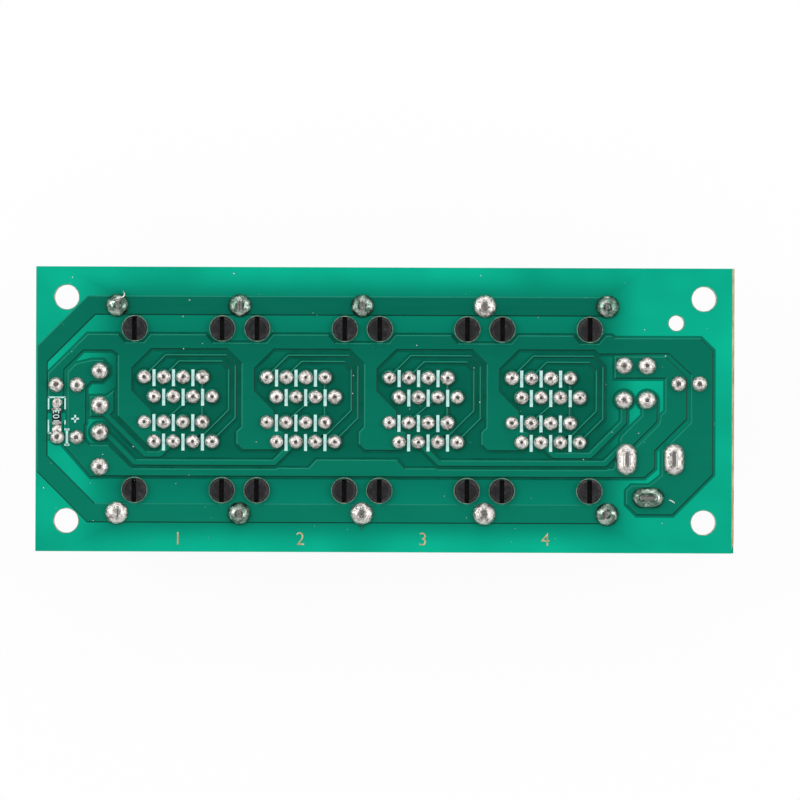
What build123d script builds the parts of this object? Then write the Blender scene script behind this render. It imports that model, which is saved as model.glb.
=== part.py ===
from build123d import *
import math
import os

# A four-port passive power-over-Ethernet injector board, in millimetres.
# It lies with its solder side up and rests on the flat tops of its eight modular jacks.
# Origin: the middle of the board, on the plane that the jack tops rest on. +X runs along the
# board to the end with the power inlet, +Y to the row of plain data jacks, +Z out of the solder side.

# ---- board ----
board_thickness = 1.6
margin_left = 10.6                # from the first jack's cell to the board's left edge
margin_right = 16.6               # from the last jack's cell to the inlet edge
row_gap = 0.9                     # between the backs of the two rows of jacks
mount_hole_inset = 4.0            # centre of each mounting hole from both edges
mount_hole_diameter = 3.2         # clears an M3 screw
tool_hole_diameter = 2.0
tool_hole_from_right, tool_hole_y = 7.6, 11.45
score_width, score_depth = 0.3, 0.4   # half of the V-score left along the inlet edge
chip_length, chip_depth = 1.3, 0.35   # corner chipped where the panel was snapped off

# ---- modular jack, an eight-way shielded data socket ----
jack_pitch = 16.0                 # from one port to the next, along X
jacks_per_row = 4
jack_height = 13.4
jack_gap = 0.1                    # between the shields of two neighbours
jack_edge_gap = 0.1               # mouth set back from the board's edge
peg_line_inset = 8.05             # line through the plastic pegs, from the board's edge
peg_spacing = 11.43
peg_diameter = 3.1
peg_clearance = 0.075             # all round a peg in its hole
peg_ledge = 0.35                  # shoulder round the root of each peg
peg_slot = 0.62
peg_stand_out = 0.9               # past the solder side
peg_chamfer = 0.3
pin_step = 1.27                   # eight pins, staggered in two rows
pin_row_offset = 6.35             # near row of pins behind the pegs
pin_row_gap = 2.54
pin_hole_diameter = 0.9
contact_pitch = 1.02
wire_diameter = 0.4
wire_clearance = 0.03
lead_stand_out = 1.0              # every soldered lead past the solder side
jack_depth_behind_pins = 1.21     # from the far pin row to the shield's back
sheet = 0.25                      # shield sheet
shield_lift = 0.2                 # lower edge of the shield above the board
leg_offset = 3.0                  # shield legs ahead of the pegs
leg_width = 1.8
leg_stand_out = 1.2
leg_taper = 0.35
leg_hole_diameter = 2.3
fit = 0.05                        # between a shield, its housing and the insert

# Plug cavity, tab down: heights above the board
plug_width, plug_floor, plug_ceiling = 11.9, 4.4, 11.2
step_width, step_floor = 6.4, 3.0
slot_width, slot_floor = 3.6, 1.9
catch_thickness = 1.6             # front wall that the plug's latch hooks behind
cavity_depth = 12.5
wire_over_plug = 0.55             # wires run forward above the cavity
spring_fold = 5.6                 # fold of the springs, behind the mouth
spring_reach, spring_drop = 5.4, 4.0
pocket_wall = 1.4                 # housing beside the insert
insert_depth = 4.2
insert_over_wire = 0.45           # top of the insert above the middle of the wires
tongue_width, tongue_under_wire = 8.4, 0.4
wedge_from, wedge_to = 4.6, 6.4   # wedge on each side of the housing, behind the pegs
wedge_low, wedge_high = 5.2, 6.2
window_clearance = 0.1            # round a wedge in its window

# ---- power inlet, for a 5.5 x 2.1 mm barrel plug ----
inlet_axis_y = -6.35
inlet_edge_gap = 0.1              # mouth set back from the board's edge
inlet_length_ahead = 13.75        # rear tab to mouth
inlet_length_behind = 0.7
inlet_width, inlet_height = 9.0, 10.9
inlet_axis_height = 6.3
inlet_bore = 6.4
inlet_bore_depth = 9.5
inlet_collar = 3.4
inlet_barrel_diameter = 8.6
inlet_pin = 2.1
inlet_pin_recess = 0.9
inlet_sleeve_tab = 6.0            # sleeve tab ahead of the rear tab
inlet_switch_ahead, inlet_switch_aside, inlet_switch_height = 2.65, 5.0, 4.4
tab_width, tab_thickness = 2.2, 0.4
tab_hole_width, tab_hole_length = 1.0, 3.0

# ---- resettable fuses, one for each powered port; places run from the nearer end of the board ----
fuse_lead_spacing = 4.5
fuse_width, fuse_thickness, fuse_height = 7.4, 2.7, 8.6
fuse_lift = 2.0
fuse_lead_diameter = 0.5
left_fuses = [(8.35, 2.72), (8.35, -5.3)]
right_fuses = [(14.4, 3.63), (11.4, 3.63)]

# ---- capacitors, indicator lamp and its resistor ----
can_diameter, can_height, can_lift = 5.0, 10.6, 0.3
can_lead_spacing = 2.74
can_lead_diameter = 0.5
seal_diameter, seal_height = 4.2, 0.5
left_can, right_can = (4.0, 3.13), (5.9, 3.55)
lamp_from_left, lamp_y = 4.08, -3.7
lamp_diameter, lamp_flange, lamp_height, lamp_lift = 3.0, 3.8, 5.2, 1.2
lamp_lead_spacing, lamp_lead = 2.54, 0.45
chip_from_left, chip_y = 2.75, -1.0
chip_turn = 2.0
resistor_length, resistor_width, resistor_height = 2.1, 1.2, 0.5
resistor_cap = 0.35
chip_fillet = 1.25                # solder run out from each end of the resistor

# ---- copper and solder ----
foil = 0.07                       # copper foil over the laminate
gap = 0.35                        # between two nets
fine_gap = 0.12                   # between a signal track and a pin's pad
pin_pad, lead_pad, can_pad, shield_pad = 2.0, 2.5, 2.15, 3.1
tab_pad_length, tab_pad_width = 4.3, 2.8
pad_rim = 0.06                    # pad left bare round its joint
pin_joint, lead_joint, shield_joint, tab_joint = 0.78, 0.85, 0.95, 0.85   # joint heights
plug_clearance = 0.02             # solder inside a plated hole, all round
shield_band = 2.55
feed_width, data_width, bus_width = 0.85, 0.3, 1.2
edge_inset = 0.12                 # copper kept back from the board's edge

# ---- what follows from them ----
board_length = margin_left + jacks_per_row * jack_pitch + margin_right
jack_back = pin_row_offset + pin_row_gap + jack_depth_behind_pins
board_width = 2 * (peg_line_inset + jack_back) + row_gap
left, right = -board_length / 2, board_length / 2
half_width = board_width / 2
component_face = jack_height
solder_face = jack_height + board_thickness
peg_line = half_width - peg_line_inset
peg_hole_diameter = peg_diameter + 2 * peg_clearance
wire_height = plug_ceiling + wire_over_plug
insert_top = wire_height + insert_over_wire
near_row = peg_line - pin_row_offset
far_row = near_row - pin_row_gap
leg_line = peg_line + leg_offset
jack_width = jack_pitch - jack_gap
mouth = -(peg_line_inset - jack_edge_gap)
insert_width = jack_width - 2 * (sheet + fit + pocket_wall + fit)
tab_x = [left + margin_left + jack_pitch * i for i in range(jacks_per_row + 1)]
port_x = [x + jack_pitch / 2 for x in tab_x[:-1]]
pin_offsets = [pin_step * (i - 3.5) for i in range(8)]
mount_x, mount_y = right - mount_hole_inset, half_width - mount_hole_inset
inlet_x = right - inlet_edge_gap - inlet_length_ahead
fuse_places = [(left + x, y) for x, y in left_fuses] + [(right - x, y) for x, y in right_fuses]
can_places = [(left + left_can[0], left_can[1]), (right - right_can[0], right_can[1])]
lamp_x, chip_x = left + lamp_from_left, left + chip_from_left


def block(low, high):
    """A box between two corners."""
    size = [b - a for a, b in zip(low, high)]
    middle = [(a + b) / 2 for a, b in zip(low, high)]
    return Pos(*middle) * Box(*size)


def rod(diameter, low, high):
    """A round bar between two heights, on the Z axis."""
    return Pos(0, 0, (low + high) / 2) * Cylinder(diameter / 2, high - low)


def rod_along_x(diameter, low, high):
    return Rot(Y=90) * rod(diameter, low, high)


def joined(shapes):
    """One part holding every shape as its own solid."""
    return Compound(children=[solid for shape in shapes for solid in shape.solids()])


def on_component_side(shape, x, y, turn=0):
    """Shape was drawn standing on the board with +Z away from it; this hangs it under the board."""
    return Pos(x, y, component_face) * Rot(Z=turn) * Rot(X=180) * shape


# ==== modular jack: mouth towards -Y, pegs on the X axis ====

def plug_cavity(grow, front, catch_end, floor_end):
    """The way in for a plug and its latch, from the front to the floor of the cavity."""
    main = block(
        (-plug_width / 2 - grow, front, plug_floor - grow),
        (plug_width / 2 + grow, floor_end, plug_ceiling + grow),
    )
    slot = block(
        (-slot_width / 2 - grow, front, slot_floor - grow),
        (slot_width / 2 + grow, catch_end, plug_floor),
    )
    step = block(
        (-step_width / 2 - grow, front, step_floor - grow),
        (step_width / 2 + grow, catch_end, plug_floor),
    )
    return main + slot + step


def contact_path(index):
    """Centre line of one contact: a tail through the board, up the insert, forward and folded back."""
    tail_x = pin_offsets[index]
    spring_x = contact_pitch * (index - 3.5)
    tail_y = pin_row_offset + (pin_row_gap if index % 2 else 0)
    fold_y = mouth + spring_fold
    points = [
        (tail_x, tail_y, -board_thickness - lead_stand_out),
        (tail_x, tail_y, 1.6),
        (spring_x, tail_y, 3.4),
        (spring_x, tail_y, wire_height),
        (spring_x, fold_y, wire_height),
        (spring_x, fold_y + spring_reach, wire_height - spring_drop),
    ]
    return FilletPolyline(*points, radius=[0.6, 0.6, 0.6, 0.42])


def contact_wire(index, diameter):
    path = contact_path(index)
    start = Plane(origin=path @ 0, z_dir=path % 0)
    return sweep(start * Circle(diameter / 2), path=path)


def jack_contacts():
    return joined([contact_wire(i, wire_diameter) for i in range(8)])


def jack_insert():
    """The block that holds the eight wires: a rear pillar with a tongue over the cavity."""
    rear = jack_back - sheet - 2 * fit
    front = rear - insert_depth
    tongue_front = mouth + spring_fold + 1.6
    pillar = block((-insert_width / 2, front, 0.3), (insert_width / 2, rear, insert_top))
    tongue_low = wire_height - tongue_under_wire
    tongue = block((-tongue_width / 2, tongue_front, tongue_low), (tongue_width / 2, front, insert_top))
    body = pillar + tongue
    for groove_z in (4.4, 8.4):
        body -= block(
            (-insert_width / 2 - 1, rear - 0.4, groove_z),
            (insert_width / 2 + 1, rear + 1, groove_z + 2.6),
        )
    for i in range(8):
        body -= contact_wire(i, wire_diameter + 2 * wire_clearance)
    return body


def peg():
    """A split locating peg, pushed through the board and standing past it."""
    tip = -board_thickness - peg_stand_out
    post = rod(peg_diameter, tip, 0.3)
    post = chamfer(post.edges().group_by(Axis.Z)[0], peg_chamfer)
    return post - block((-peg_slot / 2, -peg_diameter, tip - 1), (peg_slot / 2, peg_diameter, -0.3))


def jack_housing():
    """Moulded housing: plug cavity in front, pocket for the insert behind, two pegs below."""
    wall = jack_width / 2 - sheet - fit
    front = mouth + sheet + fit
    rear = jack_back - sheet - fit
    pocket_front = rear - insert_depth - 2 * fit
    half_insert = insert_width / 2 + fit
    housing = block((-wall, front, 0.3), (wall, rear, jack_height - sheet - fit))
    housing -= plug_cavity(0, front - 1, front + catch_thickness, front + cavity_depth)
    housing -= block(
        (-step_width / 2, front + catch_thickness, slot_floor),
        (step_width / 2, front + 9, plug_floor + 1),
    )
    housing -= block((-half_insert, pocket_front, -1), (half_insert, rear + 1, insert_top + fit))
    half_tongue = tongue_width / 2 + fit
    housing -= block(
        (-half_tongue, mouth + spring_fold - 0.9, plug_ceiling - 1),
        (half_tongue, pocket_front + 1, insert_top + fit),
    )
    for side in (-1, 1):
        # Relief pockets under the floor, so that the walls stay even
        low, high = sorted((side * 3.9, side * 6.6))
        housing -= block((low, 2.2, 0), (high, pocket_front - 1, 3.4))
        shoulder = Pos(side * peg_spacing / 2, 0, 0) * rod(peg_diameter + 2 * peg_ledge, 0, 0.4)
        shoulder &= block((-wall, -peg_spacing, -1), (wall, peg_spacing, 1))
        housing += Pos(side * peg_spacing / 2, 0, 0) * peg() + shoulder
        foot_x = side * (half_insert + (wall - half_insert) / 2)
        housing += block((foot_x - 0.5, rear - 1.6, 0), (foot_x + 0.5, rear - 0.6, 0.4))
        # Wedge that the shield's window snaps over
        low, high = sorted((side * (wall - 0.2), side * (wall + sheet)))
        housing += block((low, wedge_from, wedge_low), (high, wedge_to, wedge_high))
    return housing


def jack_shield():
    """Folded sheet shield, open below, with two solder legs."""
    half = jack_width / 2
    shell = block((-half, mouth, shield_lift), (half, jack_back, jack_height))
    shell = fillet(shell.edges().filter_by(Axis.Z) + shell.edges().group_by(Axis.Z)[-1], sheet)
    shell -= block(
        (-half + sheet, mouth + sheet, -1), (half - sheet, jack_back - sheet, jack_height - sheet),
    )
    shell -= plug_cavity(0.25, mouth - 1, mouth + 1, mouth + 1)
    for side in (-1, 1):
        near, far = sorted((side * (half - 2 * sheet), side * (half + 1)))
        # Window over the housing's wedge, and a tongue freed by a U-shaped slit
        shell -= block(
            (near, wedge_from - window_clearance, wedge_low - window_clearance),
            (far, wedge_to + window_clearance, wedge_high + window_clearance),
        )
        slit = block((near, -6.2, 7.0), (far, -1.2, 9.6))
        slit -= block((near - 1, -7.0, 7.3), (far + 1, -1.5, 9.3))
        shell -= slit
        # Slits beside the back flap
        low, high = sorted((side * (half - 2 * sheet - 0.2), side * (half - 2 * sheet)))
        shell -= block((low, jack_back - 2 * sheet, -1), (high, jack_back + 1, jack_height - 2 * sheet))
        # Tongues in the lid
        middle = side * 3.6
        lid = block((middle - 1.3, -6.0, jack_height - 1), (middle + 1.3, -1.0, jack_height + 1))
        lid -= block((middle - 1.0, -6.8, jack_height - 2), (middle + 1.0, -1.3, jack_height + 2))
        shell -= lid
        # Solder leg with a tapered tip
        low, high = sorted((side * (half - sheet), side * half))
        tip = -board_thickness - leg_stand_out
        leg = block(
            (low, -leg_offset - leg_width / 2, tip),
            (high, -leg_offset + leg_width / 2, shield_lift + 1),
        )
        leg = chamfer(leg.edges().filter_by(Axis.X).group_by(Axis.Z)[0], leg_taper)
        shell += leg
    return shell


# ==== power inlet: mouth towards +X, rear tab at x = 0 ====

def inlet_body():
    rear, front = -inlet_length_behind, inlet_length_ahead
    half = inlet_width / 2
    collar = block((front - inlet_collar, -half, 0), (front, half, inlet_height))
    collar = fillet(collar.edges().filter_by(Axis.X).group_by(Axis.Z)[-1], 0.8)
    lower = block(
        (rear, -inlet_barrel_diameter / 2, 0),
        (front - 1, inlet_barrel_diameter / 2, inlet_axis_height),
    )
    barrel = Pos(0, 0, inlet_axis_height) * rod_along_x(inlet_barrel_diameter, rear, front - 1)
    body = collar + lower + barrel
    body -= Pos(0, 0, inlet_axis_height) * rod_along_x(inlet_bore, front - inlet_bore_depth, front + 1)
    body = chamfer(body.faces().sort_by(Axis.X)[-1].edges().filter_by(GeomType.CIRCLE), 0.4)
    # Bore for the pin's shank, slot for the rear tab
    body -= Pos(0, 0, inlet_axis_height) * rod_along_x(inlet_pin, rear - 1, front - inlet_bore_depth + 1)
    half_slot = tab_width / 2 + fit
    body -= block((rear - 1, -half_slot, -1), (tab_thickness / 2 + fit, half_slot, inlet_axis_height + 2))
    # Slot under the bore for the sleeve spring
    spring_rear = inlet_sleeve_tab - tab_thickness / 2 - fit
    body -= block((spring_rear, -half_slot, -1), (front - 1.2, half_slot, inlet_axis_height - 2))
    # Slot in the side for the switch contact
    tab_low = inlet_switch_ahead - tab_width / 2 - fit
    tab_high = inlet_switch_ahead + tab_width / 2 + fit
    switch_top = inlet_switch_height + tab_thickness + 2 * fit
    body -= block((tab_low, half - 1.4, inlet_switch_height), (tab_high, half + 1, switch_top))
    return body


def inlet_centre_pin():
    """Turned pin with a domed nose, riveted to the flat rear tab."""
    nose = inlet_length_ahead - inlet_pin_recess
    pin = rod_along_x(inlet_pin - fit, tab_thickness / 2, nose)
    pin = fillet(pin.edges().group_by(Axis.X)[-1], 0.6)
    pin = Pos(0, 0, inlet_axis_height) * pin
    tab_low = -board_thickness - lead_stand_out
    tab = block(
        (-tab_thickness / 2, -tab_width / 2, tab_low),
        (tab_thickness / 2, tab_width / 2, inlet_axis_height + 1.8),
    )
    rivet = Pos(-tab_thickness / 2 - 0.1, 0, inlet_axis_height) * rod_along_x(1.6, -0.2, 0.1)
    return pin + tab + rivet


def inlet_sleeve_spring():
    """Strip that rises from the board and runs under the bore, bowed up to press on the plug."""
    bore_floor = inlet_axis_height - inlet_bore / 2
    tip = -board_thickness - lead_stand_out
    low = bore_floor - 0.7
    middle = inlet_sleeve_tab + 3.2
    front = inlet_length_ahead - 1.6
    line = FilletPolyline(
        (inlet_sleeve_tab, 0, tip), (inlet_sleeve_tab, 0, low), (inlet_sleeve_tab + 1.2, 0, low),
        (middle, 0, bore_floor + 0.35), (front, 0, low), radius=0.4,
    )
    start = Plane(origin=line @ 0, x_dir=(0, 1, 0), z_dir=line % 0)
    return sweep(start * Rectangle(tab_width, tab_thickness), path=line)


def inlet_switch_contact():
    tip = -board_thickness - lead_stand_out
    x, y = inlet_switch_ahead, inlet_switch_aside
    low = inlet_switch_height + fit
    high = low + tab_thickness
    upright = block(
        (x - tab_width / 2, y - tab_thickness / 2, tip),
        (x + tab_width / 2, y + tab_thickness / 2, high),
    )
    arm = block((x - tab_width / 2, inlet_width / 2 - 1.2, low), (x + tab_width / 2, y, high))
    return upright + arm


# ==== small parts standing on the component side ====

def lead_pair(spacing, diameter, top, along_y=False):
    tip = -board_thickness - lead_stand_out
    wires = []
    for side in (-1, 1):
        x, y = (0, side * spacing / 2) if along_y else (side * spacing / 2, 0)
        wires.append(Pos(x, y, 0) * rod(diameter, tip, top))
    return wires


def fuse_leads():
    return lead_pair(fuse_lead_spacing, fuse_lead_diameter, fuse_lift + 1.4, along_y=True)


def fuse_disc():
    """Resin-dipped slab, rounded all over, with a skirt run down each lead."""
    slab = block(
        (-fuse_thickness / 2, -fuse_width / 2, fuse_lift),
        (fuse_thickness / 2, fuse_width / 2, fuse_lift + fuse_height),
    )
    slab = fillet(slab.edges().filter_by(Axis.X), 2.6)
    slab = fillet(slab.edges().group_by(Axis.X)[0] + slab.edges().group_by(Axis.X)[-1], 1.1)
    for side in (-1, 1):
        skirt = Pos(0, side * fuse_lead_spacing / 2, fuse_lift + 0.1) * Cone(0.45, 1.0, 1.8)
        slab += skirt
    bore = fuse_lead_diameter + 2 * wire_clearance
    for wire in lead_pair(fuse_lead_spacing, bore, fuse_lift + 1.4 + fit, along_y=True):
        slab -= wire
    return slab


def can_leads():
    return lead_pair(can_lead_spacing, can_lead_diameter, can_lift + 1.0)


def can_body():
    """Sleeved aluminium can with a crimp groove, a scored lid and a rubber plug set in its foot."""
    can = rod(can_diameter, can_lift, can_lift + can_height)
    can = fillet(can.edges().group_by(Axis.Z)[-1], 0.4)
    crimp = rod(can_diameter, can_lift - 1, can_lift + seal_height)
    can -= crimp - rod(seal_diameter, can_lift - 1, can_lift + seal_height)
    can -= Pos(0, 0, can_lift + seal_height + 1.2) * Torus(can_diameter / 2 + 0.15, 0.4)
    top = can_lift + can_height
    for turn in (0, 90):
        can -= Rot(Z=turn) * block((-1.5, -0.1, top - 0.12), (1.5, 0.1, top + 1))
    for wire in lead_pair(can_lead_spacing, can_lead_diameter + 2 * wire_clearance, can_lift + 1.0 + fit):
        can -= wire
    return can


def lamp_leads():
    half = lamp_lead / 2
    tip = -board_thickness - lead_stand_out
    return [
        block((x - half, -half, tip), (x + half, half, lamp_lift + 1.6))
        for x in (-lamp_lead_spacing / 2, lamp_lead_spacing / 2)
    ]


def lamp_lens():
    """Domed lamp body with a flange and one flat on it, cast round its two leads."""
    shoulder = lamp_lift + lamp_height - lamp_diameter / 2
    lens = rod(lamp_diameter, lamp_lift, shoulder) + Pos(0, 0, shoulder) * Sphere(lamp_diameter / 2)
    flange = rod(lamp_flange, lamp_lift, lamp_lift + 0.9)
    flange -= block((lamp_diameter / 2, -3, 0), (3, 3, lamp_height))
    lens += flange
    side = lamp_lead / 2 + wire_clearance
    for x in (-lamp_lead_spacing / 2, lamp_lead_spacing / 2):
        lens -= block((x - side, -side, 0), (x + side, side, lamp_lift + 1.6 + wire_clearance))
    return lens


def resistor_parts():
    """Chip resistor lying on the solder side: ceramic body and its two plated ends."""
    seat = solder_face + foil
    place = Pos(chip_x, chip_y, seat) * Rot(Z=chip_turn)
    half_l, half_w = resistor_length / 2, resistor_width / 2
    whole = block((-half_w, -half_l, 0), (half_w, half_l, resistor_height))
    core = block((-half_w, -half_l + resistor_cap, 0.05), (half_w, half_l - resistor_cap, resistor_height))
    inner = block(
        (-half_w + 0.05, -half_l + 0.05, 0.05), (half_w - 0.05, half_l - 0.05, resistor_height - 0.05),
    )
    body = core + inner
    middle = block((-9, -half_l + resistor_cap, -1), (9, half_l - resistor_cap, 1))
    return place * body, place * (whole - body - middle)


# ==== copper on the solder side, drawn flat about the board's middle ====

def track(width, *points):
    """A run of copper along a line of points, with rounded corners and ends."""
    run = Sketch() + [Pos(*point) * Circle(width / 2) for point in points]
    for (x1, y1), (x2, y2) in zip(points, points[1:]):
        length, angle = math.hypot(x2 - x1, y2 - y1), math.degrees(math.atan2(y2 - y1, x2 - x1))
        run += Pos((x1 + x2) / 2, (y1 + y2) / 2) * Rot(Z=angle) * Rectangle(length, width)
    return run


def area(*points):
    return make_face(Polyline(*points, close=True))


def pads(places, diameter, grow=0.0):
    return Sketch() + [Pos(*place) * Circle(diameter / 2 + grow) for place in places]


def pin_places(port, row):
    """Board places of a port's eight pins; row is +1 for the data jacks, -1 for the powered ones."""
    rows = [near_row, far_row] * 4
    return [(port_x[port] + row * offset, row * y) for offset, y in zip(pin_offsets, rows)]


def pair_places(place, spacing, along_y=False):
    """Both leads of a two-lead part, the one with the lower coordinate first."""
    x, y = place
    if along_y:
        return [(x, y - spacing / 2), (x, y + spacing / 2)]
    return [(x - spacing / 2, y), (x + spacing / 2, y)]


ports = range(jacks_per_row)
data_pins = [pin_places(port, 1) for port in ports]
powered_pins = [pin_places(port, -1) for port in ports]
fuse_pins = [pair_places(place, fuse_lead_spacing, along_y=True) for place in fuse_places]
can_pins = [pair_places(place, can_lead_spacing) for place in can_places]
lamp_pins = pair_places((lamp_x, lamp_y), lamp_lead_spacing)
leg_places = [(x, side * leg_line) for x in tab_x for side in (1, -1)]
peg_places = [
    (x + end * peg_spacing / 2, side * peg_line)
    for x in port_x for end in (-1, 1) for side in (1, -1)
]
rear_tab = (inlet_x, inlet_axis_y)
sleeve_tab = (inlet_x + inlet_sleeve_tab, inlet_axis_y)
switch_tab = (inlet_x + inlet_switch_ahead, inlet_axis_y - inlet_switch_aside)

# Which lead each net takes. Pins 4 and 5 of a powered port carry the supply, 7 and 8 the return
return_pins = [pins[i] for pins in powered_pins for i in (6, 7)]
supply_pins = [pins[4] for pins in powered_pins]
feed_line_1 = -near_row - feed_width / 2 - pin_pad / 2 - 0.3
feed_line_2 = feed_line_1 - feed_width - 0.2
bus_line = feed_line_2 - feed_width / 2 - 0.2 - bus_width / 2


def tab_pad(place, turn, grow=0.0):
    slot = SlotOverall(tab_pad_length + 2 * grow, tab_pad_width + 2 * grow)
    return Pos(*place) * Rot(Z=turn) * slot


def feed_copper(grow=0.0):
    """One run from each fuse to its port: the two left fuses feed ports 1 and 2, the right ones 3 and 4."""
    width = feed_width + 2 * grow
    runs = []
    for index, line in ((0, feed_line_1), (1, feed_line_2)):
        pad = fuse_pins[index][0 if index == 0 else 1]
        pin = supply_pins[index]
        drop = (pad[1] - 1.0 if index == 0 else pad[1]) - line
        start = pad[0] + (0.6 if index == 0 else 0.7)
        rise = pin[1] - line
        runs.append(
            track(width, pad, (start, line + drop), (start + drop, line), (pin[0] - rise, line), pin),
        )
        runs[-1] += pads([pad], lead_pad, grow)
    # Copper round the first fuse's outlet
    x, y = fuse_pins[0][0]
    runs[0] += area(
        (x - 1.3 - grow, y - 1.5 - grow), (x + 1.2 + grow, y - 1.5 - grow), (x + 1.9 + grow, y - 0.8),
        (x + 1.9 + grow, y + 2.0 + grow), (x + 0.9, y + 1.2 + grow), (x - 1.3 - grow, y + 1.2 + grow),
    )
    for index, fuse, line in ((2, 3, feed_line_2), (3, 2, feed_line_1)):
        pad, pin = fuse_pins[fuse][0], supply_pins[index]
        drop, rise = pad[1] - 2.9 - line, pin[1] - line
        turn = (pad[0], line + drop)
        runs.append(track(width, pad, turn, (turn[0] - drop, line), (pin[0] + rise, line), pin))
        runs[-1] += pads([pad], lead_pad, grow)
        if fuse == 3:
            knee = (pad[0] + 0.4, pad[1] - 2.4)
            runs[-1] += track(2.0 + 2 * grow, (pad[0] + 0.4, pad[1]), knee, (pad[0] - 2.5, pad[1] - 5.3))
    return [run + pads([pin], pin_pad, grow) for run, pin in zip(runs, supply_pins)]


def data_copper(grow=0.0, pad_grow=0.0):
    """Four runs in each port pair from the data jack to the powered jack, and the lone pads."""
    width = data_width + 2 * grow
    copper = []
    top = peg_line - peg_hole_diameter / 2 - 1.9
    for port in ports:
        data, powered = data_pins[port], powered_pins[port]
        outer, inner = tab_x[port + 1] - 0.5, tab_x[port + 1] - 1.35
        x, y = data[0]
        end = powered[0]
        loop = track(
            width, (x, y), (x + top - y, top), (outer - 1.3, top), (outer, top - 1.3),
            (outer, end[1] + outer - end[0]), end,
        )
        copper.append(loop + pads([data[0], powered[0]], pin_pad, pad_grow))
        x, y = data[2]
        high = top - 0.8
        end = (powered[2][0] + 0.65, powered[2][1])
        loop = track(
            width, (x, y), (x + high - y, high), (inner - 0.95, high), (inner, high - 0.95),
            (inner, end[1] + inner - end[0]), end,
        )
        copper.append(loop + pads([data[2], powered[2]], pin_pad, pad_grow))
        copper.append(track(width, data[5], powered[5]) + pads([data[5], powered[5]], pin_pad, pad_grow))
        copper.append(track(width, data[6], powered[1]) + pads([data[6], powered[1]], pin_pad, pad_grow))
        lone = [data[i] for i in (1, 3, 4, 7)] + [powered[3]]
        copper += [pads([place], pin_pad, pad_grow) for place in lone]
    return copper


def shield_copper():
    """A frame of track that joins every shield leg round the left end of the board."""
    end = tab_x[-1]
    outer_y, inner_y = leg_line + shield_band / 2, leg_line - shield_band / 2
    west, east = left + edge_inset, left + 1.55
    bend = margin_left - 4.0
    band = area(
        (end, outer_y), (west + bend, outer_y), (west, outer_y - bend), (west, bend - outer_y),
        (west + bend, -outer_y), (end, -outer_y), (end, -inner_y), (east + bend - 0.4, -inner_y),
        (east, bend - inner_y - 0.4), (east, inner_y - bend + 0.4), (east + bend - 0.4, inner_y),
        (end, inner_y),
    )
    return band + pads(leg_places, shield_pad) - pads(peg_places, peg_hole_diameter)


def return_copper():
    """The pour between the data jacks' pegs, with a finger down to each powered port, and the
    inlet's sleeve."""
    top, under = peg_line - 0.75, peg_line - peg_hole_diameter / 2 - 1.1
    foot = -near_row - 1.15
    start = left + 1.6
    right_gap = right - 5.65
    outline = [
        (left + 6.75, top), (start, top - 5.15), (start, -0.3), (start + 2.1, -0.3),
        (start + 2.1, 5.1), (start + 4.6, 7.6), (start + 8.4, 7.6), (tab_x[0] + 0.1, 7.0),
        (tab_x[0] + 0.1, foot + 4.4),
    ]
    for port, x in enumerate(port_x):
        if port > 0:
            side = tab_x[port]
            outline += [
                (side + 0.25, foot + 3.1), (side - 0.4, foot + 2.45), (side - 0.4, foot + 0.8),
                (side + 0.4, foot),
            ]
        else:
            outline += [(tab_x[0] + 4.5, foot)]
        reach, drop = (0.25, 1.85) if port < jacks_per_row - 1 else (-1.1, 0.5)
        outline += [
            (x - 2.7, foot), (x - 2.15, foot + 0.55), (x - 2.15, foot + 2.4), (x - 3.4, foot + 2.7),
            (x - 3.4, foot + 5.2),
            (x - 6.0, foot + 7.8), (x - 6.0, under - 2.5), (x - 3.5, under), (tab_x[port + 1] - 1.6, under),
            (tab_x[port + 1] + reach, under - drop),
        ]
    low = inlet_axis_y - inlet_switch_aside
    outline += [
        (right - 8.6, 7.4), (right_gap, 4.7), (right_gap, -1.5), (sleeve_tab[0] - 1.6, -5.3),
        (sleeve_tab[0] - 1.6, inlet_axis_y - 2.1), (switch_tab[0] + 0.1, low + 1.6),
        (switch_tab[0] - 2.2, low + 1.6),
        (switch_tab[0] - 2.9, low + 0.9), (switch_tab[0] - 2.9, low - 0.9),
        (switch_tab[0] - 1.5, low - 2.3),
        (right - 8.0, low - 2.3), (right - 2.75, inlet_axis_y - 2.0), (right - 2.75, top - 1.9),
        (right - 4.4, top - 0.3),
        (tab_x[-1] + 1.0, top - 0.3), (tab_x[-1] + 0.6, top),
    ]
    pour = area(*outline)
    # Notches round the pegs
    floor = peg_line - peg_hole_diameter / 2 - 0.2
    for x in tab_x:
        aside = (jack_pitch - peg_spacing) / 2
        ends = [p for p in (x - aside, x + aside) if tab_x[0] < p < tab_x[-1]]
        pour -= area(
            (ends[0] - 1.2, floor), (ends[-1] + 1.2, floor), (ends[-1] + 2.7, peg_line),
            (ends[0] - 2.7, peg_line),
        )
    return pour + pads(return_pins, pin_pad) + pads([can_pins[0][0], can_pins[1][1]], can_pad) \
        + tab_pad(sleeve_tab, 90) + tab_pad(switch_tab, 0)


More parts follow.
